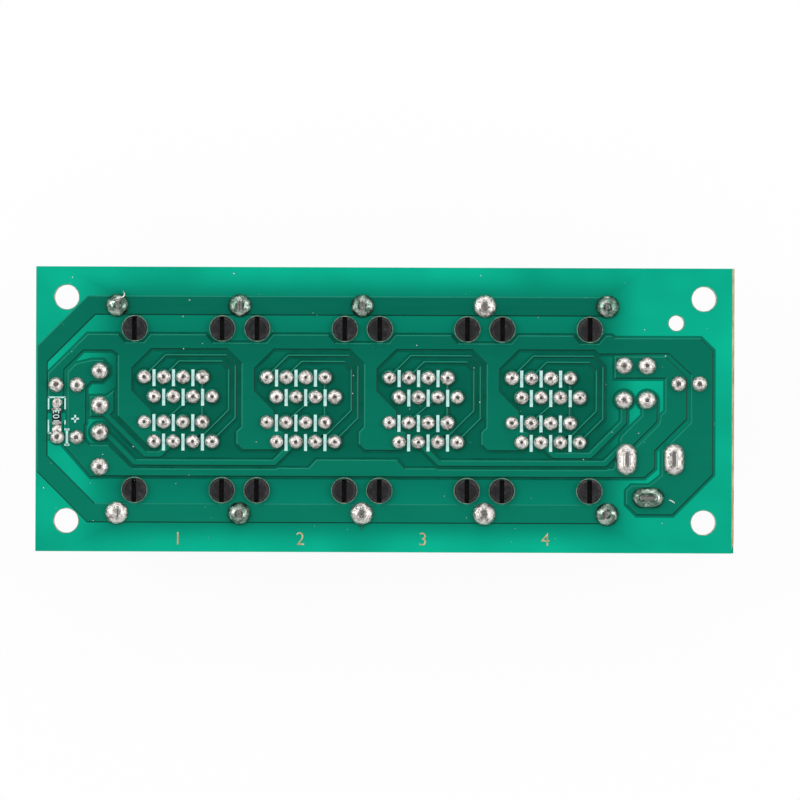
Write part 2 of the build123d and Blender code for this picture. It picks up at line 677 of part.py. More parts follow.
def supply_copper():
    """The bus along the powered ports, from the inlet's centre pin to the left fuses, and both
    capacitors' other leads."""
    start = left + 1.6
    upper, lower = bus_line + bus_width / 2, bus_line - bus_width / 2
    bus = area(
        (start + 2.55, 4.8), (start + 3.6, 5.9), (start + 5.7, 6.4), (start + 7.2, 6.4),
        (start + 8.1, 5.5), (start + 8.1, 4.5),
        (start + 7.1, 3.5), (start + 5.7, 3.5), (start + 5.0, 2.8), (start + 5.0, -1.9),
        (start + 4.8, -2.2), (start + 4.8, -4.0),
        (start + 5.5, -4.7), (start + 7.9, -4.7), (start + 10.95, upper), (inlet_x - 2.0, upper),
        (inlet_x - 1.75, upper + 0.3),
        (inlet_x - 1.75, -5.2), (inlet_x - 0.75, -4.2), (inlet_x + 0.75, -4.2), (right - 9.0, 0.0),
        (right - 9.0, 4.2), (right - 15.65, 4.2),
        (right - 15.65, 7.1), (right - 8.9, 7.1), (right - 6.15, 4.4), (right - 6.15, -1.1),
        (inlet_x + 3.55, -5.25),
        (inlet_x + 3.55, inlet_axis_y - 1.2), (inlet_x + 2.15, lower), (start + 7.5, lower),
        (start + 5.6, lower - 0.1),
        (start + 1.8, -4.6), (start + 2.55, -2.9),
    )
    # Wider where no feed runs beside it
    wide_from, wide_to = supply_pins[1][0] + 1.6, supply_pins[2][0] - 1.6
    bus += area(
        (wide_from, upper - 0.1), (wide_to, upper - 0.1), (wide_to - 1.1, upper + 1.1),
        (wide_from + 1.1, upper + 1.1),
    )
    fed = [fuse_pins[0][1], fuse_pins[1][0], fuse_pins[2][1], fuse_pins[3][1]]
    bus += pads(fed, lead_pad) + pads([can_pins[0][1], can_pins[1][0]], can_pad)
    return bus + pads([lamp_pins[1]], can_pad) + tab_pad(rear_tab, 90)


def lamp_copper():
    """From the lamp's resistor to the lamp."""
    start = left + 1.6
    run = area((start, -1.7), (start + 2.1, -1.7), (start + 2.1, -3.4), (start, -4.2))
    return run + pads([lamp_pins[0]], can_pad)


pin_holes = [place for pins in data_pins + powered_pins for place in pins]
lead_holes = [place for pins in fuse_pins + can_pins + [lamp_pins] for place in pins]
tab_slots = [(rear_tab, 90), (sleeve_tab, 90), (switch_tab, 0)]


def drilled():
    """Every plated hole, as a flat pattern."""
    pattern = pads(pin_holes + lead_holes, pin_hole_diameter) + pads(leg_places, leg_hole_diameter)
    for place, turn in tab_slots:
        pattern += Pos(*place) * Rot(Z=turn) * SlotOverall(tab_hole_length, tab_hole_width)
    return pattern


def circuit_board():
    flat = Rectangle(board_length, board_width) - drilled()
    flat -= pads([(x, y) for x in (-mount_x, mount_x) for y in (-mount_y, mount_y)], mount_hole_diameter)
    flat -= pads([(right - tool_hole_from_right, tool_hole_y)], tool_hole_diameter)
    flat -= pads(peg_places, peg_hole_diameter)
    board = Pos(0, 0, component_face) * extrude(flat, board_thickness)
    # Half of the V-score along the inlet edge, with the corner chipped where the panel was snapped off
    for level, out in ((component_face, -1), (solder_face, 1)):
        groove = area(
            (right - score_width, level), (right + 0.01, level - out * score_depth),
            (right + 0.01, level + out), (right - score_width, level + out),
        )
        board -= extrude(Plane.XZ * groove, board_width, both=True)
    low = -half_width
    chip = area(
        (right + 1, low - 1), (right - chip_depth, low - 1), (right - chip_depth, low + 0.3),
        (right, low + chip_length), (right + 1, low + chip_length),
    )
    board -= Pos(0, 0, component_face + 0.5) * extrude(chip, board_thickness)
    return board


def foil_part(flat):
    return Pos(0, 0, solder_face) * extrude(flat - drilled(), foil)


# ==== solder ====

def joint(radius, height, hole, top_radius):
    """A wetted dome on the pad, with the solder that fills the plated hole below it."""
    face = make_face(
        Polyline((top_radius, height), (0, height), (0, 0), (radius, 0))
        + ThreePointArc((radius, 0), (0.78 * radius, 0.56 * height), (top_radius, height))
    )
    dome = Pos(0, 0, foil) * revolve(Plane.XZ * face, Axis.Z)
    return Pos(0, 0, solder_face) * (dome + rod(hole - 2 * plug_clearance, -board_thickness, foil + 0.01))


def signal_joints():
    one = joint(pin_pad / 2 - pad_rim, pin_joint, pin_hole_diameter, 0.28)
    one -= Pos(0, 0, solder_face) * rod(wire_diameter, -5, 5)
    return joined([Pos(*place, 0) * one for place in pin_holes])


def shield_joints():
    one = joint(shield_pad / 2 - pad_rim, shield_joint, leg_hole_diameter, 0.75)
    joints = []
    for x, y in leg_places:
        shape = Pos(x, y, 0) * one
        for leg_x, lug in ((x - jack_gap / 2 - sheet, tab_x[0] < x), (x + jack_gap / 2, x < tab_x[-1])):
            if lug:
                tip = solder_face + leg_stand_out
                leg = block((leg_x, y - leg_width / 2, 0), (leg_x + sheet, y + leg_width / 2, tip))
                shape -= chamfer(leg.edges().filter_by(Axis.X).group_by(Axis.Z)[-1], leg_taper)
        joints.append(shape)
    return joined(joints)


def power_joints():
    joints = []
    for place, turn in tab_slots:
        base = SlotOverall(tab_pad_length - 2 * pad_rim, tab_pad_width - 2 * pad_rim)
        dome = Pos(0, 0, foil) * extrude(base, tab_joint, taper=38)
        plug = SlotOverall(tab_hole_length - 2 * plug_clearance, tab_hole_width - 2 * plug_clearance)
        shape = dome + Pos(0, 0, -board_thickness) * extrude(plug, board_thickness + foil + 0.01)
        shape -= block((-tab_width / 2, -tab_thickness / 2, -5), (tab_width / 2, tab_thickness / 2, 5))
        joints.append(Pos(*place, solder_face) * Rot(Z=turn) * shape)
    return joined(joints)


def chip_solder(end):
    """Solder drawn out from one end of the resistor; end is +1 or -1 along Y."""
    wall = end * resistor_length / 2
    toe = wall + end * chip_fillet
    side = Plane.YZ * area((wall, 0), (wall, resistor_height * 0.9), (toe, 0.06), (toe, 0))
    bead = extrude(side, resistor_width / 2, both=True)
    return Pos(chip_x, chip_y, solder_face + foil) * Rot(Z=chip_turn) * bead


def lead_joints():
    joints = []
    fuse_joint = joint(lead_pad / 2 - pad_rim, lead_joint, pin_hole_diameter, 0.34)
    fuse_joint -= Pos(0, 0, solder_face) * rod(fuse_lead_diameter, -5, 5)
    joints += [Pos(*place, 0) * fuse_joint for pins in fuse_pins for place in pins]
    can_joint = joint(can_pad / 2 - pad_rim, pin_joint, pin_hole_diameter, 0.34)
    held = can_joint - Pos(0, 0, solder_face) * rod(can_lead_diameter, -5, 5)
    joints += [Pos(*place, 0) * held for pins in can_pins for place in pins]
    half = lamp_lead / 2
    lamp_hole = block((-half, -half, 0), (half, half, 2 * solder_face))
    # The resistor's lower end is bridged to the lamp's lead
    joints.append((Pos(*lamp_pins[0], 0) * can_joint + chip_solder(-1)) - Pos(*lamp_pins[0], 0) * lamp_hole)
    joints.append(Pos(*lamp_pins[1], 0) * (can_joint - lamp_hole))
    joints.append(chip_solder(1))
    return joined(joints)


# ==== write every node ====

def build():
    nodes = {
        "circuit_board": circuit_board(),
        "shield_track": foil_part(shield_copper()),
        "data_tracks": joined([foil_part(flat) for flat in data_copper()]),
        "feed_tracks": joined([foil_part(flat) for flat in feed_copper()]),
        "lamp_track": foil_part(lamp_copper()),
        "signal_joints": signal_joints(),
        "shield_joints": shield_joints(),
        "power_joints": power_joints(),
        "lead_joints": lead_joints(),
    }
    keep_clear = Sketch() + feed_copper(gap) + data_copper(gap, gap) + pads([lamp_pins[0]], can_pad, gap)
    nodes["return_pour"] = foil_part(return_copper() - keep_clear)
    nodes["supply_bus"] = foil_part(supply_copper() - keep_clear)

    jack = {
        "housing": jack_housing(), "shield": jack_shield(),
        "contacts": jack_contacts(), "insert": jack_insert(),
    }
    for row, (side, turn) in enumerate(((1, 0), (-1, 180))):
        for port, x in enumerate(port_x):
            for piece, shape in jack.items():
                name = f"jack_{piece}_{row * jacks_per_row + port + 1}"
                nodes[name] = on_component_side(shape, x, side * peg_line, turn)

    inlet = {
        "inlet_body": inlet_body(), "inlet_centre_pin": inlet_centre_pin(),
        "inlet_sleeve_spring": inlet_sleeve_spring(), "inlet_switch_contact": inlet_switch_contact(),
    }
    for name, shape in inlet.items():
        nodes[name] = on_component_side(shape, inlet_x, inlet_axis_y)

    for number, place in enumerate(fuse_places, 1):
        nodes[f"fuse_{number}"] = on_component_side(fuse_disc(), *place)
    nodes["fuse_leads"] = joined(
        [on_component_side(wire, *place) for place in fuse_places for wire in fuse_leads()]
    )
    for name, place in zip(("capacitor_left", "capacitor_right"), can_places):
        nodes[name] = on_component_side(can_body(), *place)
    nodes["capacitor_leads"] = joined(
        [on_component_side(wire, *place) for place in can_places for wire in can_leads()]
    )
    nodes["lamp_lens"] = on_component_side(lamp_lens(), lamp_x, lamp_y)
    nodes["lamp_leads"] = joined([on_component_side(lead, lamp_x, lamp_y) for lead in lamp_leads()])
    nodes["resistor_body"], ends = resistor_parts()
    nodes["resistor_ends"] = joined([ends])
    return nodes


os.makedirs("parts", exist_ok=True)
for name, shape in build().items():
    export_step(shape, f"parts/{name}.step")
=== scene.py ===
import bpy, bmesh, math, random
from mathutils import Matrix, Vector, noise


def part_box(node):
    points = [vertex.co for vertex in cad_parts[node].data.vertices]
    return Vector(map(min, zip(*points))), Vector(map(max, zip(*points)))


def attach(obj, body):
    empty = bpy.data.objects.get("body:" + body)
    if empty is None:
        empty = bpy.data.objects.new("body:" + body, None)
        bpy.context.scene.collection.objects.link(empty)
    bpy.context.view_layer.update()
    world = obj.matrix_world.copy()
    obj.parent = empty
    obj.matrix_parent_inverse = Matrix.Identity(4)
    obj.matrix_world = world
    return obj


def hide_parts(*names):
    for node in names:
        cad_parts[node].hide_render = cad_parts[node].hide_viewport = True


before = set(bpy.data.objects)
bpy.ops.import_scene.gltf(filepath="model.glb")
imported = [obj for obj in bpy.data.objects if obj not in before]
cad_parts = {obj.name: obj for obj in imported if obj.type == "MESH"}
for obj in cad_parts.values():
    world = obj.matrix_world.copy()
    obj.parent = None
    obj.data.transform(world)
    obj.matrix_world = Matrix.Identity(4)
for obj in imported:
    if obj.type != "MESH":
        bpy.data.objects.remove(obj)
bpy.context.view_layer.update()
mm = 0.001

# A four-port power injector board, solder side up, lying on the tops of its jacks.
# Pieces are drawn in millimetres about the middle of the board and scaled once, in finishPiece.

board = {
    "face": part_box("circuit_board")[1][2] / mm,          # solder side
    "foilTop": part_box("return_pour")[1][2] / mm,         # top of the copper
    "right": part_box("circuit_board")[1][0] / mm,
    "left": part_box("circuit_board")[0][0] / mm,
    "front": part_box("circuit_board")[0][1] / mm,
}


def toLinear(hexColour):
    parts = [int(hexColour[i:i + 2], 16) / 255 for i in (1, 3, 5)]
    return tuple(c / 12.92 if c <= 0.04045 else ((c + 0.055) / 1.055) ** 2.4 for c in parts) + (1.0,)


# inputs maps a socket's name or number to a value or to another node's output
def addNode(tree, kind, settings=None, inputs=None):
    node = tree.nodes.new(kind)
    for name, value in (settings or {}).items():
        setattr(node, name, value)
    for name, value in (inputs or {}).items():
        if isinstance(value, bpy.types.NodeSocket):
            tree.links.new(value, node.inputs[name])
        elif isinstance(value, str):
            node.inputs[name].default_value = toLinear(value)
        else:
            node.inputs[name].default_value = value
    return node


def newMaterial(name, **shader):
    material = bpy.data.materials.new(name)
    material.use_nodes = True
    tree = material.node_tree
    principled = tree.nodes["Principled BSDF"]
    for socket, value in shader.items():
        principled.inputs[socket.replace("_", " ")].default_value = (
            toLinear(value) if isinstance(value, str) else value
        )
    place = addNode(tree, "ShaderNodeTexCoord").outputs["Object"]
    return material, tree, principled, place


# noise whose lumps are about sizeMm across
def noiseOn(tree, place, sizeMm, detail=3.0, roughness=0.55, stretch=(1, 1, 1)):
    scaled = addNode(tree, "ShaderNodeMapping", inputs={0: place, "Scale": stretch})
    return addNode(
        tree, "ShaderNodeTexNoise", {"noise_dimensions": "3D"},
        {"Vector": scaled.outputs[0], "Scale": 1000.0 / sizeMm, "Detail": detail, "Roughness": roughness},
    )


def ramp(tree, factor, *stops):
    node = addNode(tree, "ShaderNodeValToRGB", inputs={0: factor})
    elements = node.color_ramp.elements
    while len(elements) < len(stops):
        elements.new(0.5)
    for element, (position, colour) in zip(elements, stops):
        element.position, element.color = position, toLinear(colour)
    return node.outputs[0]


def mixColour(tree, factor, a, b, blend="MIX"):
    node = addNode(
        tree, "ShaderNodeMix", {"data_type": "RGBA", "blend_type": blend}, {0: factor, 6: a, 7: b},
    )
    return node.outputs[2]


def maths(tree, operation, a, b=0.0, clamp=False):
    return addNode(
        tree, "ShaderNodeMath", {"operation": operation, "use_clamp": clamp}, {0: a, 1: b},
    ).outputs[0]


# 0 below low, 1 above high, both in mm along the value's axis
def smoothStep(tree, value, low, high):
    return addNode(tree, "ShaderNodeMapRange", {"interpolation_type": "SMOOTHSTEP"},
                   {"Value": value, "From Min": low * mm, "From Max": high * mm}).outputs[0]


def addBump(tree, principled, height, distanceMm, strength=1.0):
    bump = addNode(
        tree, "ShaderNodeBump",
        inputs={"Height": height, "Distance": distanceMm * mm, "Strength": strength},
    )
    tree.links.new(bump.outputs[0], principled.inputs["Normal"])


# masks for painted light: 1 where nothing stands behind the board and light comes through it, 0 over the
# jacks
def showThrough(tree, place):
    axes = addNode(tree, "ShaderNodeSeparateXYZ", inputs={0: place})
    x, y = axes.outputs[0], axes.outputs[1]
    beyondLeft = smoothStep(tree, maths(tree, "MULTIPLY", x, -1.0), 34.0, 41.5)
    beyondRight = smoothStep(tree, x, 28.0, 34.0)
    beyondRows = smoothStep(tree, maths(tree, "ABSOLUTE", y), 14.2, 18.4)
    middle = smoothStep(tree, maths(tree, "ABSOLUTE", y), 4.0, 13.0)
    return maths(tree, "MAXIMUM", maths(tree, "MAXIMUM", beyondLeft, beyondRight), beyondRows), middle, y


# FR-4 under cured green solder mask: glassy, tan where it was cut; its green carries painted light where
# light comes through the board and painted shade over the jacks
def maskOnLaminate():
    material, tree, principled, place = newMaterial(
        "solderMaskOnLaminate", Roughness=0.32, IOR=1.5, Specular_IOR_Level=0.1,
    )
    bare, middle, y = showThrough(tree, place)
    cloud = noiseOn(tree, place, 14.0, 2.0)
    streak = noiseOn(tree, place, 1.6, 3.0, stretch=(0.12, 1, 1))
    # painted shade over the jacks, darkest along the middle line, and painted light through the board beyond
    # them
    dark = mixColour(tree, middle, "#005c49", "#007e66")
    bright = ramp(tree, cloud.outputs[0], (0.3, "#009a7c"), (0.7, "#04b491"))
    green = mixColour(tree, bare, dark, bright)
    green = mixColour(tree, maths(tree, "MULTIPLY", streak.outputs[0], 0.10), green, "#06705a")
    up = addNode(
        tree, "ShaderNodeSeparateXYZ",
        inputs={0: addNode(tree, "ShaderNodeNewGeometry").outputs["True Normal"]},
    )
    cut = maths(tree, "LESS_THAN", maths(tree, "ABSOLUTE", up.outputs[2]), 0.9)
    weave = noiseOn(tree, place, 0.5, 2.0, stretch=(0.3, 0.3, 2.5))
    fibre = ramp(tree, weave.outputs[0], (0.35, "#9c8a63"), (0.65, "#c9b994"))
    tree.links.new(mixColour(tree, cut, green, fibre), principled.inputs["Base Color"])
    addBump(tree, principled, streak.outputs[0], 0.012)
    return material


# the same green mask over etched copper: darker, and it lies in a slow ripple with fine lines from the
# brush; painted light makes it lighter towards the bottom and where light comes through the board, and its
# sloped edges are painted lit towards the upper left and shaded towards the lower right
def maskOnCopper():
    material, tree, principled, place = newMaterial(
        "solderMaskOnCopper", Roughness=0.3, IOR=1.5, Specular_IOR_Level=0.1,
    )
    bare, middle, y = showThrough(tree, place)
    lines = noiseOn(tree, place, 0.7, 2.0, stretch=(0.06, 1, 1))
    cloud = noiseOn(tree, place, 9.0, 2.0)
    # painted light: lighter towards the bottom of the board
    low = smoothStep(tree, maths(tree, "MULTIPLY", y, -1.0), -16.0, 16.0)
    base = mixColour(tree, low, "#006350", "#047860")
    # painted light where it comes through the board
    base = mixColour(tree, maths(tree, "MULTIPLY", bare, 0.35), base, "#06745c")
    base = mixColour(tree, maths(tree, "MULTIPLY", cloud.outputs[0], 0.3), base, "#005543")
    base = mixColour(tree, maths(tree, "MULTIPLY", lines.outputs[0], 0.2), base, "#0a866b")
    facing = addNode(
        tree, "ShaderNodeSeparateXYZ",
        inputs={0: addNode(tree, "ShaderNodeNewGeometry").outputs["True Normal"]},
    )
    lean = addNode(
        tree, "ShaderNodeMapRange", {"interpolation_type": "SMOOTHSTEP"},
        {
            "Value": maths(tree, "SUBTRACT", facing.outputs[0], facing.outputs[1]), "From Min": -0.5,
            "From Max": 0.2,
        },
    )
    # painted light and shade on the sloped edges: lit where they face the upper left, shaded where they face
    # the lower right
    paintedSlopeLightAndShade = mixColour(tree, lean.outputs[0], "#12836a", "#003c2e")
    sloped = maths(tree, "LESS_THAN", maths(tree, "ABSOLUTE", facing.outputs[2]), 0.97)
    tree.links.new(mixColour(tree, sloped, base, paintedSlopeLightAndShade), principled.inputs["Base Color"])
    addBump(tree, principled, lines.outputs[0], 0.01)
    return material


# painted shade: a dark sheet in the gaps beside the copper, where little light gets through the board
def pooledGreen():
    material, tree, principled, place = newMaterial(
        "paintedGapShadeMask", Roughness=0.3, IOR=1.5, Specular_IOR_Level=0.1,
    )
    bare, middle, y = showThrough(tree, place)
    cloud = noiseOn(tree, place, 2.5, 3.0)
    deep = ramp(tree, cloud.outputs[0], (0.35, "#00503f"), (0.65, "#005c49"))
    tree.links.new(
        # painted shade, paler where light comes through the board
        mixColour(tree, maths(tree, "MULTIPLY", bare, 0.7), deep, "#027a61"),
        principled.inputs["Base Color"],
    )
    return material


# tin-lead solder that froze in the air: mirror-like skin with dented and flux-stained patches, and dark
# patches that are partly oxide and partly painted reflection
def wettedSolder(name, bright, mid, dark, lumpMm, roughness, share):
    material, tree, principled, place = newMaterial(name, Metallic=1.0, Roughness=roughness)
    lumps = noiseOn(tree, place, lumpMm, 4.0, 0.65)
    stain = noiseOn(tree, place, lumpMm * 2.6, 2.0)
    # dark patches partly oxide and partly painted reflection of the dark surroundings
    silverAndPaintedReflection = ramp(tree, lumps.outputs[0], (share - 0.1, dark), (share, mid), (share + 0.09, bright))
    tree.links.new(
        mixColour(tree, maths(tree, "MULTIPLY", stain.outputs[0], 0.35), silverAndPaintedReflection, "#a8948c"),
        principled.inputs["Base Color"],
    )
    addBump(tree, principled, lumps.outputs[0], 0.12)
    return material


# black moulded nylon; the paler spots in its grain, as on the ends of the pegs, are painted highlights
def mouldedNylon():
    material, tree, principled, place = newMaterial("mouldedNylon", Roughness=0.36, IOR=1.53)
    grainAndPaintedHighlight = noiseOn(tree, place, 0.9, 4.0, 0.7)
    tree.links.new(
        # paler spots are painted highlights on the grain
        ramp(tree, grainAndPaintedHighlight.outputs[0], (0.38, "#0d0c0e"), (0.56, "#1c1a1e"), (0.68, "#3a353b")),
        principled.inputs["Base Color"],
    )
    addBump(tree, principled, grainAndPaintedHighlight.outputs[0], 0.09)
    return material


# cold-rolled steel sheet with a dull nickel plate, rolled along X
def nickelSheet():
    material, tree, principled, place = newMaterial("nickelPlatedSheet", Metallic=1.0, Roughness=0.34)
    grain = noiseOn(tree, place, 0.4, 3.0, stretch=(0.08, 1, 1))
    cloud = noiseOn(tree, place, 6.0, 2.0)
    base = ramp(tree, grain.outputs[0], (0.3, "#a9a8a4"), (0.7, "#d2d0cb"))
    tree.links.new(
        mixColour(tree, maths(tree, "MULTIPLY", cloud.outputs[0], 0.3), base, "#8f8d88"),
        principled.inputs["Base Color"],
    )
    addBump(tree, principled, grain.outputs[0], 0.006)
    return material


# phosphor bronze spring wire, gold flashed inside the jack and tinned where it was soldered
def platedWire():
    material, tree, principled, place = newMaterial("goldFlashedWire", Metallic=1.0, Roughness=0.25)
    z = addNode(tree, "ShaderNodeSeparateXYZ", inputs={0: place}).outputs[2]
    tinned = smoothStep(tree, z, board["face"] - 2.4, board["face"] - 1.8)
    tone = noiseOn(tree, place, 0.8, 2.0)
    gold = ramp(tree, tone.outputs[0], (0.3, "#c79a45"), (0.7, "#e6c27a"))
    tree.links.new(mixColour(tree, tinned, gold, "#a1958f"), principled.inputs["Base Color"])
    return material


# tinned copper wire, cut with nippers
def tinnedCopper():
    material, tree, principled, place = newMaterial("tinnedCopper", Metallic=1.0, Roughness=0.35)
    tone = noiseOn(tree, place, 0.6, 3.0)
    tree.links.new(
        ramp(tree, tone.outputs[0], (0.35, "#8a7f7b"), (0.65, "#b4aca7")),
        principled.inputs["Base Color"],
    )
    return material


# mustard epoxy dip over a polymer fuse, thick and glossy with a slow ripple
def dippedResin():
    material, tree, principled, place = newMaterial("epoxyDip", Roughness=0.22, IOR=1.55)
    tone = noiseOn(tree, place, 3.0, 3.0)
    tree.links.new(
        ramp(tree, tone.outputs[0], (0.3, "#c78f16"), (0.7, "#dfae2e")), principled.inputs["Base Color"],
    )
    addBump(tree, principled, tone.outputs[0], 0.08)
    return material


# shrunk PVC sleeve round the can, bare brushed aluminium on its lid, a pale band down the negative side
def canSleeve():
    material, tree, principled, place = newMaterial("shrunkSleeve", Roughness=0.3, IOR=1.53)
    up = addNode(
        tree, "ShaderNodeSeparateXYZ",
        inputs={0: addNode(tree, "ShaderNodeNewGeometry").outputs["True Normal"]},
    )
    lid = maths(tree, "GREATER_THAN", maths(tree, "ABSOLUTE", up.outputs[2]), 0.8)
    band = maths(tree, "GREATER_THAN", up.outputs[0], 0.86)
    grain = noiseOn(tree, place, 0.3, 2.0, stretch=(0.2, 1, 1))
    sleeve = mixColour(tree, band, "#10131d", "#b9bcc2")
    metal = ramp(tree, grain.outputs[0], (0.3, "#b4b4b2"), (0.7, "#d6d6d4"))
    tree.links.new(mixColour(tree, lid, sleeve, metal), principled.inputs["Base Color"])
    tree.links.new(lid, principled.inputs["Metallic"])
    return material


# clear green cast epoxy
def lampResin():
    material, tree, principled, place = newMaterial(
        "castEpoxyLamp", Roughness=0.08, IOR=1.54, Transmission_Weight=0.55,
    )
    tone = noiseOn(tree, place, 2.5, 2.0)
    tree.links.new(
        ramp(tree, tone.outputs[0], (0.3, "#2fae4e"), (0.7, "#5fd67a")), principled.inputs["Base Color"],
    )
    return material


# black overglaze on a ceramic chip
def resistorGlaze():
    material, tree, principled, place = newMaterial("blackOverglaze", Roughness=0.4, IOR=1.5)
    tone = noiseOn(tree, place, 0.25, 3.0)
    tree.links.new(
        ramp(tree, tone.outputs[0], (0.35, "#0b0b0c"), (0.7, "#1d1d1f")), principled.inputs["Base Color"],
    )
    addBump(tree, principled, tone.outputs[0], 0.01)
    return material


# white epoxy ink, screened thin over the green so that it looks faintly blue
def screenInk():
    material, tree, principled, place = newMaterial("screenedInk", Roughness=0.6, IOR=1.5)
    wear = noiseOn(tree, place, 0.35, 3.0)
    tree.links.new(
        ramp(tree, wear.outputs[0], (0.3, "#a6dcd6"), (0.6, "#c9f0ec")), principled.inputs["Base Color"],
    )
    return material


# thin bare copper, tinned and stained tan
def bareTrack():
    material, tree, principled, place = newMaterial("stainedBareCopper", Roughness=0.45, Metallic=0.4)
    tone = noiseOn(tree, place, 0.5, 3.0)
    tree.links.new(
        ramp(tree, tone.outputs[0], (0.3, "#8f9a6c"), (0.5, "#c9b68a"), (0.7, "#e6d6b4")),
        principled.inputs["Base Color"],
    )
    return material


# the pale bruised rim that a drill leaves in glass-epoxy laminate
def drilledRim():
    material, tree, principled, place = newMaterial("drilledRim", Roughness=0.6, IOR=1.5)
    tone = noiseOn(tree, place, 0.4, 3.0)
    tree.links.new(
        ramp(tree, tone.outputs[0], (0.35, "#4f7a66"), (0.65, "#a9b3a0")),
        principled.inputs["Base Color"],
    )
    return material


# dried flux and solder dust, chalky and uneven
def driedFlux():
    material, tree, principled, place = newMaterial("driedFlux", Roughness=0.7, IOR=1.5)
    tone = noiseOn(tree, place, 0.15, 2.0)
    tree.links.new(
        ramp(tree, tone.outputs[0], (0.35, "#b9d2c8"), (0.65, "#eef4f0")),
        principled.inputs["Base Color"],
    )
    return material


finishes = {
    "laminate": maskOnLaminate(), "copper": maskOnCopper(), "nylon": mouldedNylon(),
    "sheet": nickelSheet(), "wire": platedWire(), "tinned": tinnedCopper(), "fuse": dippedResin(),
    "can": canSleeve(), "lamp": lampResin(), "glaze": resistorGlaze(), "ink": screenInk(),
    "bare": bareTrack(), "rim": drilledRim(), "flux": driedFlux(), "paintedShade": pooledGreen(),
    "pinSolder": wettedSolder("wettedSolder", "#f0eeea", "#c6c2bd", "#7f7671", 0.45, 0.33, 0.45),
    "shieldSolder": wettedSolder("fluxedSolder", "#b4c4ba", "#5b8577", "#1f5848", 0.8, 0.24, 0.5),
}
print("finishes made")

finishByStart = [
    ("circuit_board", "laminate"), ("shield_track", "copper"), ("return_pour", "copper"),
    ("supply_bus", "copper"), ("feed_", "copper"), ("data_tracks", "copper"), ("lamp_track", "copper"),
    ("jack_housing", "nylon"), ("jack_insert", "nylon"), ("jack_shield", "sheet"),
    ("jack_contacts", "wire"), ("inlet_body", "nylon"), ("inlet_", "sheet"), ("fuse_leads", "tinned"),
    ("fuse_", "fuse"), ("capacitor_leads", "tinned"), ("capacitor_", "can"), ("lamp_leads", "tinned"),
    ("lamp_lens", "lamp"), ("resistor_body", "glaze"), ("resistor_ends", "pinSolder"),
    ("power_joints", "shieldSolder"), ("shield_joints", "shieldSolder"), ("", "pinSolder"),
]
for name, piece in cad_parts.items():
    finish = next(f for start, f in finishByStart if name.startswith(start))
    piece.data.materials.clear()
    piece.data.materials.append(finishes[finish])


# merge seams, turn faces out, scale from mm and hand the piece to the board
def finishPiece(bm, name, finish, smooth=True):
    bmesh.ops.remove_doubles(bm, verts=bm.verts, dist=0.0005)
    bmesh.ops.recalc_face_normals(bm, faces=bm.faces)
    bmesh.ops.scale(bm, vec=(mm, mm, mm), verts=bm.verts)
    mesh = bpy.data.meshes.new(name)
    bm.to_mesh(mesh)
    bm.free()
    for face in mesh.polygons:
        face.use_smooth = smooth
    piece = bpy.data.objects.new(name, mesh)
    bpy.context.scene.collection.objects.link(piece)
    mesh.materials.append(finishes[finish])
    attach(piece, "root")
    return piece


# a closed shape spun about Z from (radius, height) points that start and end on the axis
def turned(profile, steps):
    bm = bmesh.new()
    points = [bm.verts.new((r, 0, z)) for r, z in profile]
    edges = [bm.edges.new(pair) for pair in zip(points, points[1:])]
    bmesh.ops.spin(
        bm, geom=points + edges, axis=(0, 0, 1), cent=(0, 0, 0), steps=steps, angle=2 * math.pi,
        use_merge=True,
    )
    bmesh.ops.remove_doubles(bm, verts=bm.verts, dist=0.0005)
    return bm


# add one shape to another at a place
def pour(target, shape, matrix):
    mesh = bpy.data.meshes.new("part")
    shape.to_mesh(mesh)
    mesh.transform(matrix)
    target.from_mesh(mesh)
    bpy.data.meshes.remove(mesh)


# a thin flat strip, drawn on the board
def bar(target, x, y, length, width, height, base=None):
    shape = bmesh.new()
    bmesh.ops.create_cube(shape, size=1.0)
    level = board["face"] if base is None else base
    matrix = Matrix.Translation((x, y, level + height / 2)) @ Matrix.Diagonal((length, width, height, 1))
    pour(target, shape, matrix)
    shape.free()


copper = {
    "slope": 0.15, "lift": 0.012, "fringe": 0.3, "fringeLift": 0.003, "fringeStep": 0.0015,
    "runStep": 0.00015,
}


def maskedCopper(node):
    bm = bmesh.new()
    bm.from_mesh(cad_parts[node].data)
    bmesh.ops.scale(bm, vec=(1 / mm, 1 / mm, 1 / mm), verts=bm.verts)
    bmesh.ops.remove_doubles(bm, verts=bm.verts, dist=0.0005)
    tops = [f for f in bm.faces if f.normal.z > 0.9]
    bmesh.ops.inset_region(
        bm, faces=tops, thickness=copper["slope"], use_even_offset=True, use_boundary=True,
    )
    inside = {v for f in tops for v in f.verts}
    for v in bm.verts:
        if v not in inside and v.co.z > board["foilTop"] - 0.01:
            v.co.z = board["face"] + copper["lift"]
    piece = finishPiece(bm, node + "Skin", "copper", smooth=False)
    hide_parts(node)


